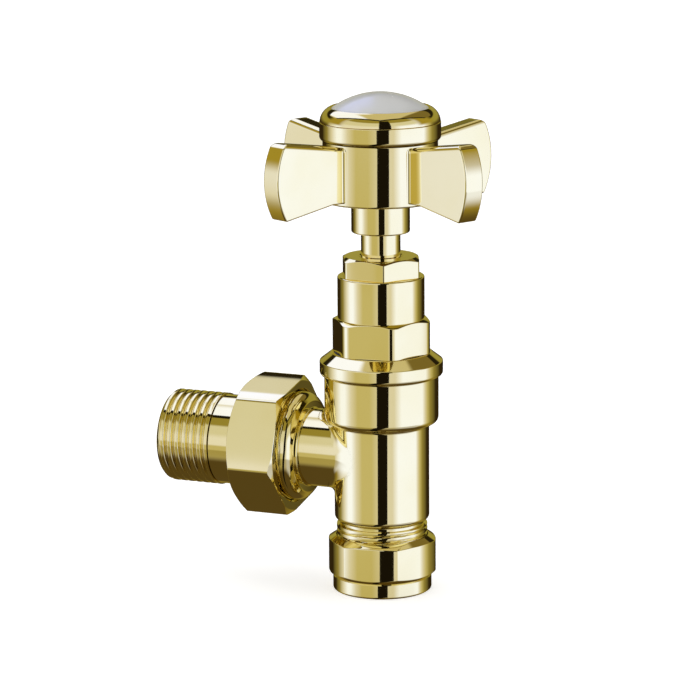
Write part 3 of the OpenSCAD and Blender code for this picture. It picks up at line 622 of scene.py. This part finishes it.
steel = plain("steel", (0.52, 0.52, 0.53), (0.44, 0.44, 0.46), 0.28, 180.0, 0.00001, metal=1.0)
rubber = plain("rubber", (0.018, 0.018, 0.019), (0.028, 0.027, 0.026), 0.62, 300.0, 0.00003)
packing = plain("packing", (0.10, 0.10, 0.105), (0.17, 0.17, 0.17), 0.7, 500.0, 0.00008)


def dress(finish, *names):
    """Puts a finish on CAD nodes that keep their own shape."""
    for name in names:
        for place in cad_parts[name].material_slots:
            place.material = finish


dress(machined, "olive", "valve_disc", "disc_nut", "gland_follower")
dress(rubber, "disc_washer", "bonnet_seal", "tail_o_ring", "cap_o_ring")
dress(steel, "disc_pin", "handle_screw", "screw_washer")
dress(packing, "gland_packing")

# Bonnet. One turned brass piece that screws into the cup: a hexagon for the spanner, with its upper
# corners turned off, and a polished sleeve above it that holds the gland packing.


def flats(sides, flat_r, round_r, turn, along=16, bend=5, cushion=0.0, power=4):
    """The outline of a bar with flat sides and rounded corners, as angles and radii. A side leans
    away from flat with that power of the distance from its middle, by cushion degrees at its ends."""
    half, lean = pi / sides, radians(cushion)
    side = np.concatenate([np.linspace(0, 0.97, along), [0.99, 1.0]])

    def walk(length):
        """Points from the middle of a side to that of its corner, for half a side of that length."""
        round_way = length + round_r * (half - lean) * np.linspace(0, 1, bend + 1)[1:]
        way = np.concatenate([side * length, round_way])
        middle, step = (way[1:] + way[:-1]) / 2, np.diff(way)
        on_side, on_corner = lean * (middle / length) ** power, lean + (middle - length) / round_r
        angle = np.where(middle < length, on_side, on_corner)
        return flat_r - np.cumsum(np.sin(angle) * step), np.cumsum(np.cos(angle) * step)

    low, high = 0.0, 2 * flat_r * tan(half)
    for _ in range(50):
        length = (low + high) / 2
        out, aside = walk(length)
        low, high = (length, high) if aside[-1] < out[-1] * tan(half) else (low, length)
    at, r = np.arctan2(aside, out), np.hypot(aside, out)
    at = np.concatenate([-at[-2::-1], [0.0], at]) + half
    at = at + 2 * half * np.arange(sides)[:, None] + radians(turn)
    return at.ravel(), np.tile(np.concatenate([r[-2::-1], [flat_r], r]), sides)


def profile(corners, radii, **how):
    """A softened profile of corners whose radius or height is a number, or has a value for each
    column."""
    width = max(np.size(v) for corner in corners for v in corner)
    table = np.stack([np.stack([np.broadcast_to(v, width) for v in corner], -1) for corner in corners])
    return soften(table, radii, **how)


BONNET_Z, BODY_TOP, SLEEVE_Z, BONNET_TOP = 44.0, 53.9, 61.6, 71.0
BONNET_FLAT, SLEEVE_R = 10.0, 9.6
turn, hexagon = flats(6, BONNET_FLAT, 3.0, 7.3, bend=8, cushion=3.0)
shoulder = 9.8
bonnet_rows = profile(
    [
        (5.0, BONNET_Z),
        (9.6, BONNET_Z),
        (9.6, BODY_TOP),
        (hexagon, BODY_TOP),
        (hexagon, SLEEVE_Z - (hexagon - shoulder) * tan(radians(30))),
        (shoulder, SLEEVE_Z),
        (SLEEVE_R, SLEEVE_Z),
        (SLEEVE_R, BONNET_TOP),
        (6.85, BONNET_TOP),
        (6.85, 60.0),
        (4.43, 60.0),
        (4.43, 59.4),
        (5.0, 59.4),
    ],
    [0, 0.4, 0, 0.12, 0.1, 0, 0, 0.35, 0.2, 0, 0, 0, 0],
    hold=0.01,
)


def bore_finish(radius):
    """Machined where a face lies nearer the upright axis than radius, polished elsewhere."""
    return lambda centre, normal: np.hypot(centre[:, 0], centre[:, 1]) < radius


bonnet_shell = shell(upright(bonnet_rows, turn))
bonnet = piece("bonnet_turned", [bonnet_shell], [polished, machined], bore_finish(6.9))
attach(bonnet, "valve")
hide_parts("bonnet")

# Gland nut. A small brass hexagon with a chamfered top, screwed into the sleeve. It presses the
# packing against the spindle, which passes through its middle.
GLAND_TOP, GLAND_FLAT, GLAND_FACE = 75.4, 8.25, 7.95
turn, hexagon = flats(6, GLAND_FLAT, 1.0, -4.0, cushion=6.0)
gland_rows = profile(
    [
        (4.43, 66.0),
        (6.8, 66.0),
        (6.8, BONNET_TOP),
        (hexagon - 0.12, BONNET_TOP),
        (hexagon, BONNET_TOP + 0.12),
        (hexagon, GLAND_TOP - (hexagon - GLAND_FACE) * tan(radians(30))),
        (GLAND_FACE, GLAND_TOP),
        (4.95, GLAND_TOP),
        (4.43, GLAND_TOP - 0.5),
    ],
    [0, 0.3, 0, 0, 0, 0.1, 0.1, 0.1, 0],
    hold=0.01,
)
gland_shell = shell(upright(gland_rows, turn))
gland = piece("gland_nut_turned", [gland_shell], [polished, machined], bore_finish(4.6))
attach(gland, "valve")
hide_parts("gland_nut")

# Spindle. Turned brass: a collar and a coarse thread below, a polished shaft through the gland, and a
# square on top that the crosshead sits on. A screw from above holds the crosshead down.
SPINDLE_R, SQUARE, SQUARE_Z = 4.35, 6.1, 84.0
turn, square = flats(4, SQUARE / 2, 0.3, 45.0, along=20)
thread_rows = cut_thread(turn, 4.92, 42.0, 56.6, 2.0, 0.5, step=0.2)
width = len(turn)


def spread(rows, width):
    """The same rows at every column."""
    return np.broadcast_to(rows, (len(rows), width, 2))


lower = soften(
    [(0, 40.94), (2.58, 40.94), (2.58, 34.6), (6.2, 34.6), (6.2, 41.7), (4.92, 41.7)],
    [0, 0, 0.2, 0.4, 0.4, 0],
)
upper = soften([(4.92, 56.8), (SPINDLE_R, 57.1), (SPINDLE_R, SQUARE_Z)], [0, 0, 0])
head = profile(
    [(square, SQUARE_Z), (square, 98.7), (2.05, 98.7), (2.05, 88.7), (0, 88.7)], [0, 0.3, 0.2, 0, 0]
)
spindle_rows = np.concatenate([spread(lower, width), thread_rows, spread(upper, width), head])
open_end = np.zeros(spindle_rows.shape[:2], bool)
open_end[-1] = True


def shaft_finish(centre, normal):
    return (centre[:, 2] < 57.0) | (centre[:, 2] > SQUARE_Z)


spindle_shell = shell(upright(spindle_rows, turn), open_end)
spindle = piece("spindle_turned", [spindle_shell], [polished, machined], shaft_finish)
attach(spindle, "handle")
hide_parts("spindle")

# Crosshead. A polished brass hub on a short boss, with a wider band round its top, and four flat arms
# that grow out of it through small fillets and widen to a rounded end.
BOSS_Z, BOSS_R, HUB_Z, HUB_R = 80.7, 6.45, 87.7, 12.8
BAND_Z, BAND_R, RING_Z = 101.1, 13.3, 105.1
turn, square = flats(4, SQUARE / 2 + 0.05, 0.3, 45.0, along=30)
hub_rows = profile(
    [
        (4.4, BOSS_Z),
        (BOSS_R, BOSS_Z),
        (BOSS_R, HUB_Z),
        (HUB_R, HUB_Z),
        (HUB_R - 0.2, BAND_Z),
        (BAND_R, BAND_Z),
        (BAND_R, RING_Z),
        (11.1, RING_Z),
        (11.1, 99.0),
        (square, 99.0),
        (square, SQUARE_Z),
        (4.4, SQUARE_Z),
    ],
    [0.15, 0.35, 0.25, 0.45, 0.15, 0.85, 0.12, 0.1, 0, 0.1, 0, 0],
)
ARM_HALF, ARM_EDGE, ARM_TOP_EDGE = 2.5, 0.4, 1.1
ARM_REACH, ARM_END, ARM_BULGE, ARM_CORNER = 30.7, 16.8, 2.3, 1.2
ROOT_TOP, ROOT_LOW, TIP_TOP, LEVEL, ROOT_ARC = 100.8, 88.5, 103.1, 15.6, 0.6


def arm(direction):
    """An arm as a bar from inside the hub to its end. Each cross-section is a rounded rectangle
    whose top and bottom follow the arm's side view; near the hub it widens along an arc; the end
    bulges along an arc of its own, and closes in rings that shrink to the middle."""
    end_x = ARM_REACH - ARM_BULGE
    tip_low = TIP_TOP - ARM_END
    bulge_r = ((ARM_END / 2) ** 2 + ARM_BULGE**2) / (2 * ARM_BULGE)
    corners = [(1, 1), (1, -1), (-1, -1), (-1, 1)]
    lean = np.linspace(0, pi / 2, 7)
    side, tilt, edge = [], [], []
    for i, (y, z) in enumerate(corners):
        nexty, nextz = corners[(i + 1) % 4]
        begin = {(1, 1): 0, (1, -1): pi / 2, (-1, -1): pi, (-1, 1): 3 * pi / 2}[(y, z)]
        here, there = (ARM_TOP_EDGE if at > 0 else ARM_EDGE for at in (z, nextz))
        side.append(np.tile([[y, z]], (7, 1)))
        tilt.append(np.stack([np.sin(begin + lean), np.cos(begin + lean)], -1))
        edge.append(np.full((7, 1), here))
        steps = np.concatenate([[0.01], np.linspace(0.04, 0.96, 24), [0.99]])[:, None]
        side.append(np.array([[y, z]]) * (1 - steps) + np.array([[nexty, nextz]]) * steps)
        tilt.append(np.tile(tilt[-1][-1:], (len(steps), 1)))
        edge.append(here * (1 - steps) + there * steps)
    side, tilt, edge = np.concatenate(side), np.concatenate(tilt), np.concatenate(edge)[:, 0]
    root = np.linspace(0, 1, 9)
    root_x = sqrt(HUB_R**2 - (ARM_HALF + ROOT_ARC) ** 2)
    root_end = root_x + ROOT_ARC
    x = np.concatenate(
        [
            [root_x - 1.5],
            root_x + ROOT_ARC * (1 - np.cos(root * pi / 2)),
            [root_end + 0.05, LEVEL - 0.05, LEVEL, LEVEL + 0.05],
            np.linspace(LEVEL + 0.5, 26.5, 24),
        ]
    )
    back_of_end = np.minimum(root_end - x, ROOT_ARC)
    arc = ROOT_ARC - np.sqrt(np.maximum(ROOT_ARC**2 - back_of_end**2, 0))
    flare = np.where(x < root_end, arc, 0)

    def outline(x, inset):
        """Points of a cross-section at x, shrunk by inset."""
        top = ROOT_TOP + (TIP_TOP - ROOT_TOP) * (x - HUB_R) / (end_x - HUB_R)
        low = ROOT_LOW + (tip_low - ROOT_LOW) * np.maximum(x - LEVEL, 0) / (end_x - LEVEL)
        middle, half = (top + low) / 2, (top - low) / 2
        y = side[:, 0] * (ARM_HALF - edge) + tilt[:, 0] * (edge - inset)
        z = middle + side[:, 1] * (half - edge) + tilt[:, 1] * (edge - inset)
        return y, z

    def end_at(z):
        """The bulged end at height z, drawn back where its top corner is rounded."""
        middle = TIP_TOP - ARM_END / 2
        arc = ARM_REACH - bulge_r + np.sqrt(np.maximum(bulge_r**2 - (z - middle) ** 2, 0))
        rise = np.clip((z - (TIP_TOP - ARM_CORNER)) / ARM_CORNER, 0, 1)
        return arc - ARM_CORNER * (1 - np.sqrt(np.maximum(1 - rise**2, 0)))

    column = len(side)
    y, z = outline(x[:, None] + np.zeros((1, column)), 0.0)
    y = y + np.sign(side[:, 0]) * flare[:, None]
    rows = [np.stack([x[:, None] + 0 * z, y + 0 * z, z], -1)]
    y, z = outline(np.full(column, end_x), 0.0)
    for _ in range(3):
        y, z = outline(end_at(z) - ARM_EDGE - 0.06, 0.0)
    rows.append(np.stack([end_at(z) - ARM_EDGE - 0.06, y, z], -1)[None])
    for t in np.linspace(0, pi / 2, 7):
        inset = (ARM_EDGE - 0.02) * (1 - cos(t))
        y, z = outline(np.full(column, end_x), inset)
        for _ in range(3):
            y, z = outline(end_at(z) - ARM_EDGE, inset)
        rows.append(np.stack([end_at(z) - ARM_EDGE * (1 - sin(t)), y, z], -1)[None])
    rim = rows[-1][0]
    middle = TIP_TOP - ARM_END / 2
    for t in [0.97, *np.linspace(0.9, 0.0, 10)]:
        y, z = rim[:, 1] * t, rim[:, 2]
        rows.append(np.stack([end_at(z), y, z], -1)[None])
    begin = rows[0][:1] * np.array([1.0, 0.0, 1.0])
    points = np.concatenate([begin, *rows])
    whole = np.zeros(points.shape[:2], bool)
    whole[-1] = True
    a = radians(direction)
    x, y, z = (points[..., i] for i in range(3))
    spun = np.stack([x * cos(a) - y * sin(a), x * sin(a) + y * cos(a), z], -1)
    return shell(spun * MM, whole)


hub = piece("crosshead_hub", [shell(upright(hub_rows, turn))], [polished])
ARM_TURN = -27.1
arms = piece("crosshead_arms", [arm(ARM_TURN + 90 * i) for i in range(4)], [polished])
arms.visible_glossy = False
for part in (hub, arms):
    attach(part, "handle")
    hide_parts("crosshead")

# Cap. A rounded brass ring pressed into the hub's bore on a rubber ring, with a domed button of white
# glazed ceramic held in it.
RING_R, RING_TOP, CROWN_R, RING_ROUND = 13.25, 108.3, 10.95, 3.6


def arc_between(first, last, radius, steps=14):
    """Points of an arc of that radius from first to last, bulging to the right of the way between them."""
    first, last = np.array(first), np.array(last)
    middle, way = (first + last) / 2, last - first
    length = np.linalg.norm(way)
    centre = middle + np.array([-way[1], way[0]]) / length * sqrt(radius**2 - length**2 / 4)
    a, b = (atan2(*(p - centre)[::-1]) for p in (first, last))
    at = np.linspace(a, b, steps)
    return centre + radius * np.stack([np.cos(at), np.sin(at)], -1)


turn = angles()
crown = [tuple(p) for p in arc_between((RING_R - 0.05, RING_Z + 0.12), (CROWN_R, RING_TOP), RING_ROUND, 24)]
ring_rows = soften(
    [
        (11.0, RING_Z),
        (RING_R - 0.25, RING_Z),
        *crown,
        (10.68, RING_TOP - 0.55),
        (10.68, 105.8),
        (9.3, 105.8),
        (9.3, 102.0),
        (11.0, 102.0),
        (11.0, 103.0),
        (10.05, 103.0),
        (10.05, 104.1),
        (11.0, 104.1),
    ],
    [0, 0.05, *[0] * (len(crown) - 1), 0.12, 0.05, 0, 0, 0.1, 0.1, 0, 0, 0, 0],
)
ring = piece("cap_ring_turned", [shell(upright(spread(ring_rows, COLUMNS), turn))], [polished])
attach(ring, "handle")
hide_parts("cap_ring")

BUTTON_R, BUTTON_Z, RIM_Z, DOME = 10.6, 105.8, 108.0, 3.5
glaze = plain(
    "glazed_ceramic", (0.66, 0.665, 0.66), (0.69, 0.69, 0.68), 0.25, 90.0, 0.000002, coat=0.08
)
dome_r = (BUTTON_R**2 + DOME**2) / (2 * DOME)
lean = np.linspace(asin(BUTTON_R / dome_r), 0.0, 40)[2:]
dome = np.stack([dome_r * np.sin(lean), RIM_Z + DOME - dome_r + dome_r * np.cos(lean)], -1)[:, None, :]
side_rows = soften(
    [(0, BUTTON_Z), (BUTTON_R, BUTTON_Z), (BUTTON_R, RIM_Z), tuple(dome[0, 0])],
    [0, 0.1, 0.25, 0],
)[:-1]
button_rows = spread(np.concatenate([side_rows, dome]), COLUMNS)
open_end = np.zeros(button_rows.shape[:2], bool)
open_end[-1] = True
button_shell = shell(upright(button_rows, turn), open_end)
button = piece("ceramic_button_glazed", [button_shell], [glaze])
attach(button, "handle")
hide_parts("ceramic_button")

# Union nut. A heavy brass hexagon that draws the tail's cone into the branch. Its outer corners are
# turned off towards the tail, and less towards the body.
UNION_NUT_AT, UNION_NUT_END, UNION_FLAT = 20.2, 31.7, 14.1
turn, hexagon = flats(6, UNION_FLAT, 1.3, 19.3, cushion=7.0)
slope = tan(radians(30.0))
front = np.minimum(hexagon - 0.15, 14.6)
back = 14.0
union_rows = profile(
    [
        (12.35, UNION_NUT_AT + 0.5),
        (12.85, UNION_NUT_AT),
        (front, UNION_NUT_AT),
        (hexagon, UNION_NUT_AT + (hexagon - front) * slope),
        (hexagon, UNION_NUT_END - (hexagon - back) * slope),
        (back, UNION_NUT_END),
        (10.5, UNION_NUT_END),
        (10.5, 29.7),
        (12.35, 29.7),
    ],
    [0.1, 0.1, 0.05, 0.05, 0.15, 0.15, 0.25, 0, 0],
    hold=0.01,
)


def beside_branch(centre):
    """How far faces lie from the branch's axis."""
    return np.hypot(centre[:, 1], centre[:, 2] - BRANCH_Z)


union = piece(
    "union_nut_turned",
    [shell(sideways(union_rows, turn))],
    [polished, machined],
    lambda c, n: beside_branch(c) < 12.5,
)
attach(union, "union_nut")
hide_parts("union_nut")

# Radiator tail. Turned brass: a cone with a rubber ring that seals in the branch, a collar that the
# union nut pulls on, a plain neck, and a half-inch pipe thread with a hexagon socket for the key.
TAIL_R, TAIL_THREAD_R, TAIL_THREAD_AT, TAIL_END = 10.1, 10.4, 38.0, 51.0
turn, key = flats(6, 5.0, 0.15, 0.0, along=18)
cone = (9.4 - 7.0) / 3.5
width = len(turn)
nose = soften(
    [
        (7.0, 23.3),
        (7.0 + 1.19 * cone, 24.49),
        (6.87, 24.49),
        (6.87, 25.89),
        (7.0 + 2.59 * cone, 25.89),
        (9.4, 26.8),
        (11.4, 26.8),
        (11.4, 29.4),
        (TAIL_R, 29.4),
        (TAIL_R, TAIL_THREAD_AT),
        (TAIL_R - 0.9, TAIL_THREAD_AT + 0.1),
    ],
    [0.1, 0, 0, 0, 0, 0, 0.2, 0.2, 0.1, 0.1, 0],
)
tail_thread = cut_thread(
    turn, TAIL_THREAD_R, TAIL_THREAD_AT + 0.2, TAIL_END - 0.1, 1.814, 0.65, step=0.08, crest=0.3
)
taper = np.clip(TAIL_THREAD_R - np.maximum(tail_thread[..., 1] - (TAIL_END - 0.9), 0), 0, None)
tail_thread[..., 0] = np.minimum(tail_thread[..., 0], taper)
end = soften([(9.6, TAIL_END - 0.05), (9.5, TAIL_END), (7.5, TAIL_END), (7.5, 31.4)], [0, 0.05, 0.3, 0])
socket = profile([(key, 31.4), (key, 23.3)], [0, 0])
tail_rows = np.concatenate([spread(nose, width), tail_thread, spread(end, width), socket])
tail = piece(
    "radiator_tail_turned",
    [shell(sideways(tail_rows, turn))],
    [polished, machined],
    lambda c, n: (beside_branch(c) < 9.6) & (c[:, 0] < -31.0)
    | (c[:, 0] > -29.5)
    | (beside_branch(c) < 7.6),
)
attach(tail, "tail")
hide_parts("tailpiece")

# Compression nut. A brass hexagon with a round skirt that squeezes the olive on the pipe. Its upper
# corners are turned off steeply, and its lower corners run out above the skirt.
NUT_TOP, NUT_FLAT, SKIRT_R, SKIRT_TOP = 12.8, 11.8, 11.0, 3.3
turn, hexagon = flats(6, NUT_FLAT, 0.5, 8.5, along=20, cushion=23.0, power=1)
slope = tan(radians(32.5))
nut_rows = profile(
    [
        (7.6, 0.0),
        (SKIRT_R, 0.0),
        (SKIRT_R, SKIRT_TOP - 0.12),
        (SKIRT_R - 0.12, SKIRT_TOP),
        (hexagon, SKIRT_TOP + (hexagon - SKIRT_R + 0.12) * 0.9),
        (hexagon, NUT_TOP - (hexagon - 9.9) * slope),
        (10.6, NUT_TOP - 0.7 * slope),
        (10.25, NUT_TOP - 0.35 * slope),
        (10.25, 5.3),
        (8.9, 5.3),
        (8.25, SKIRT_TOP),
        (7.6, SKIRT_TOP),
    ],
    [0.2, 0.5, 0.05, 0.03, 0.35, 0.25, 0, 0.1, 0, 0, 0, 0],
    hold=0.01,
)
nut_shell = shell(upright(nut_rows, turn))
nut = piece("compression_nut_turned", [nut_shell], [polished, machined], bore_finish(10.3))
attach(nut, "compression_nut")
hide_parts("compression_nut")
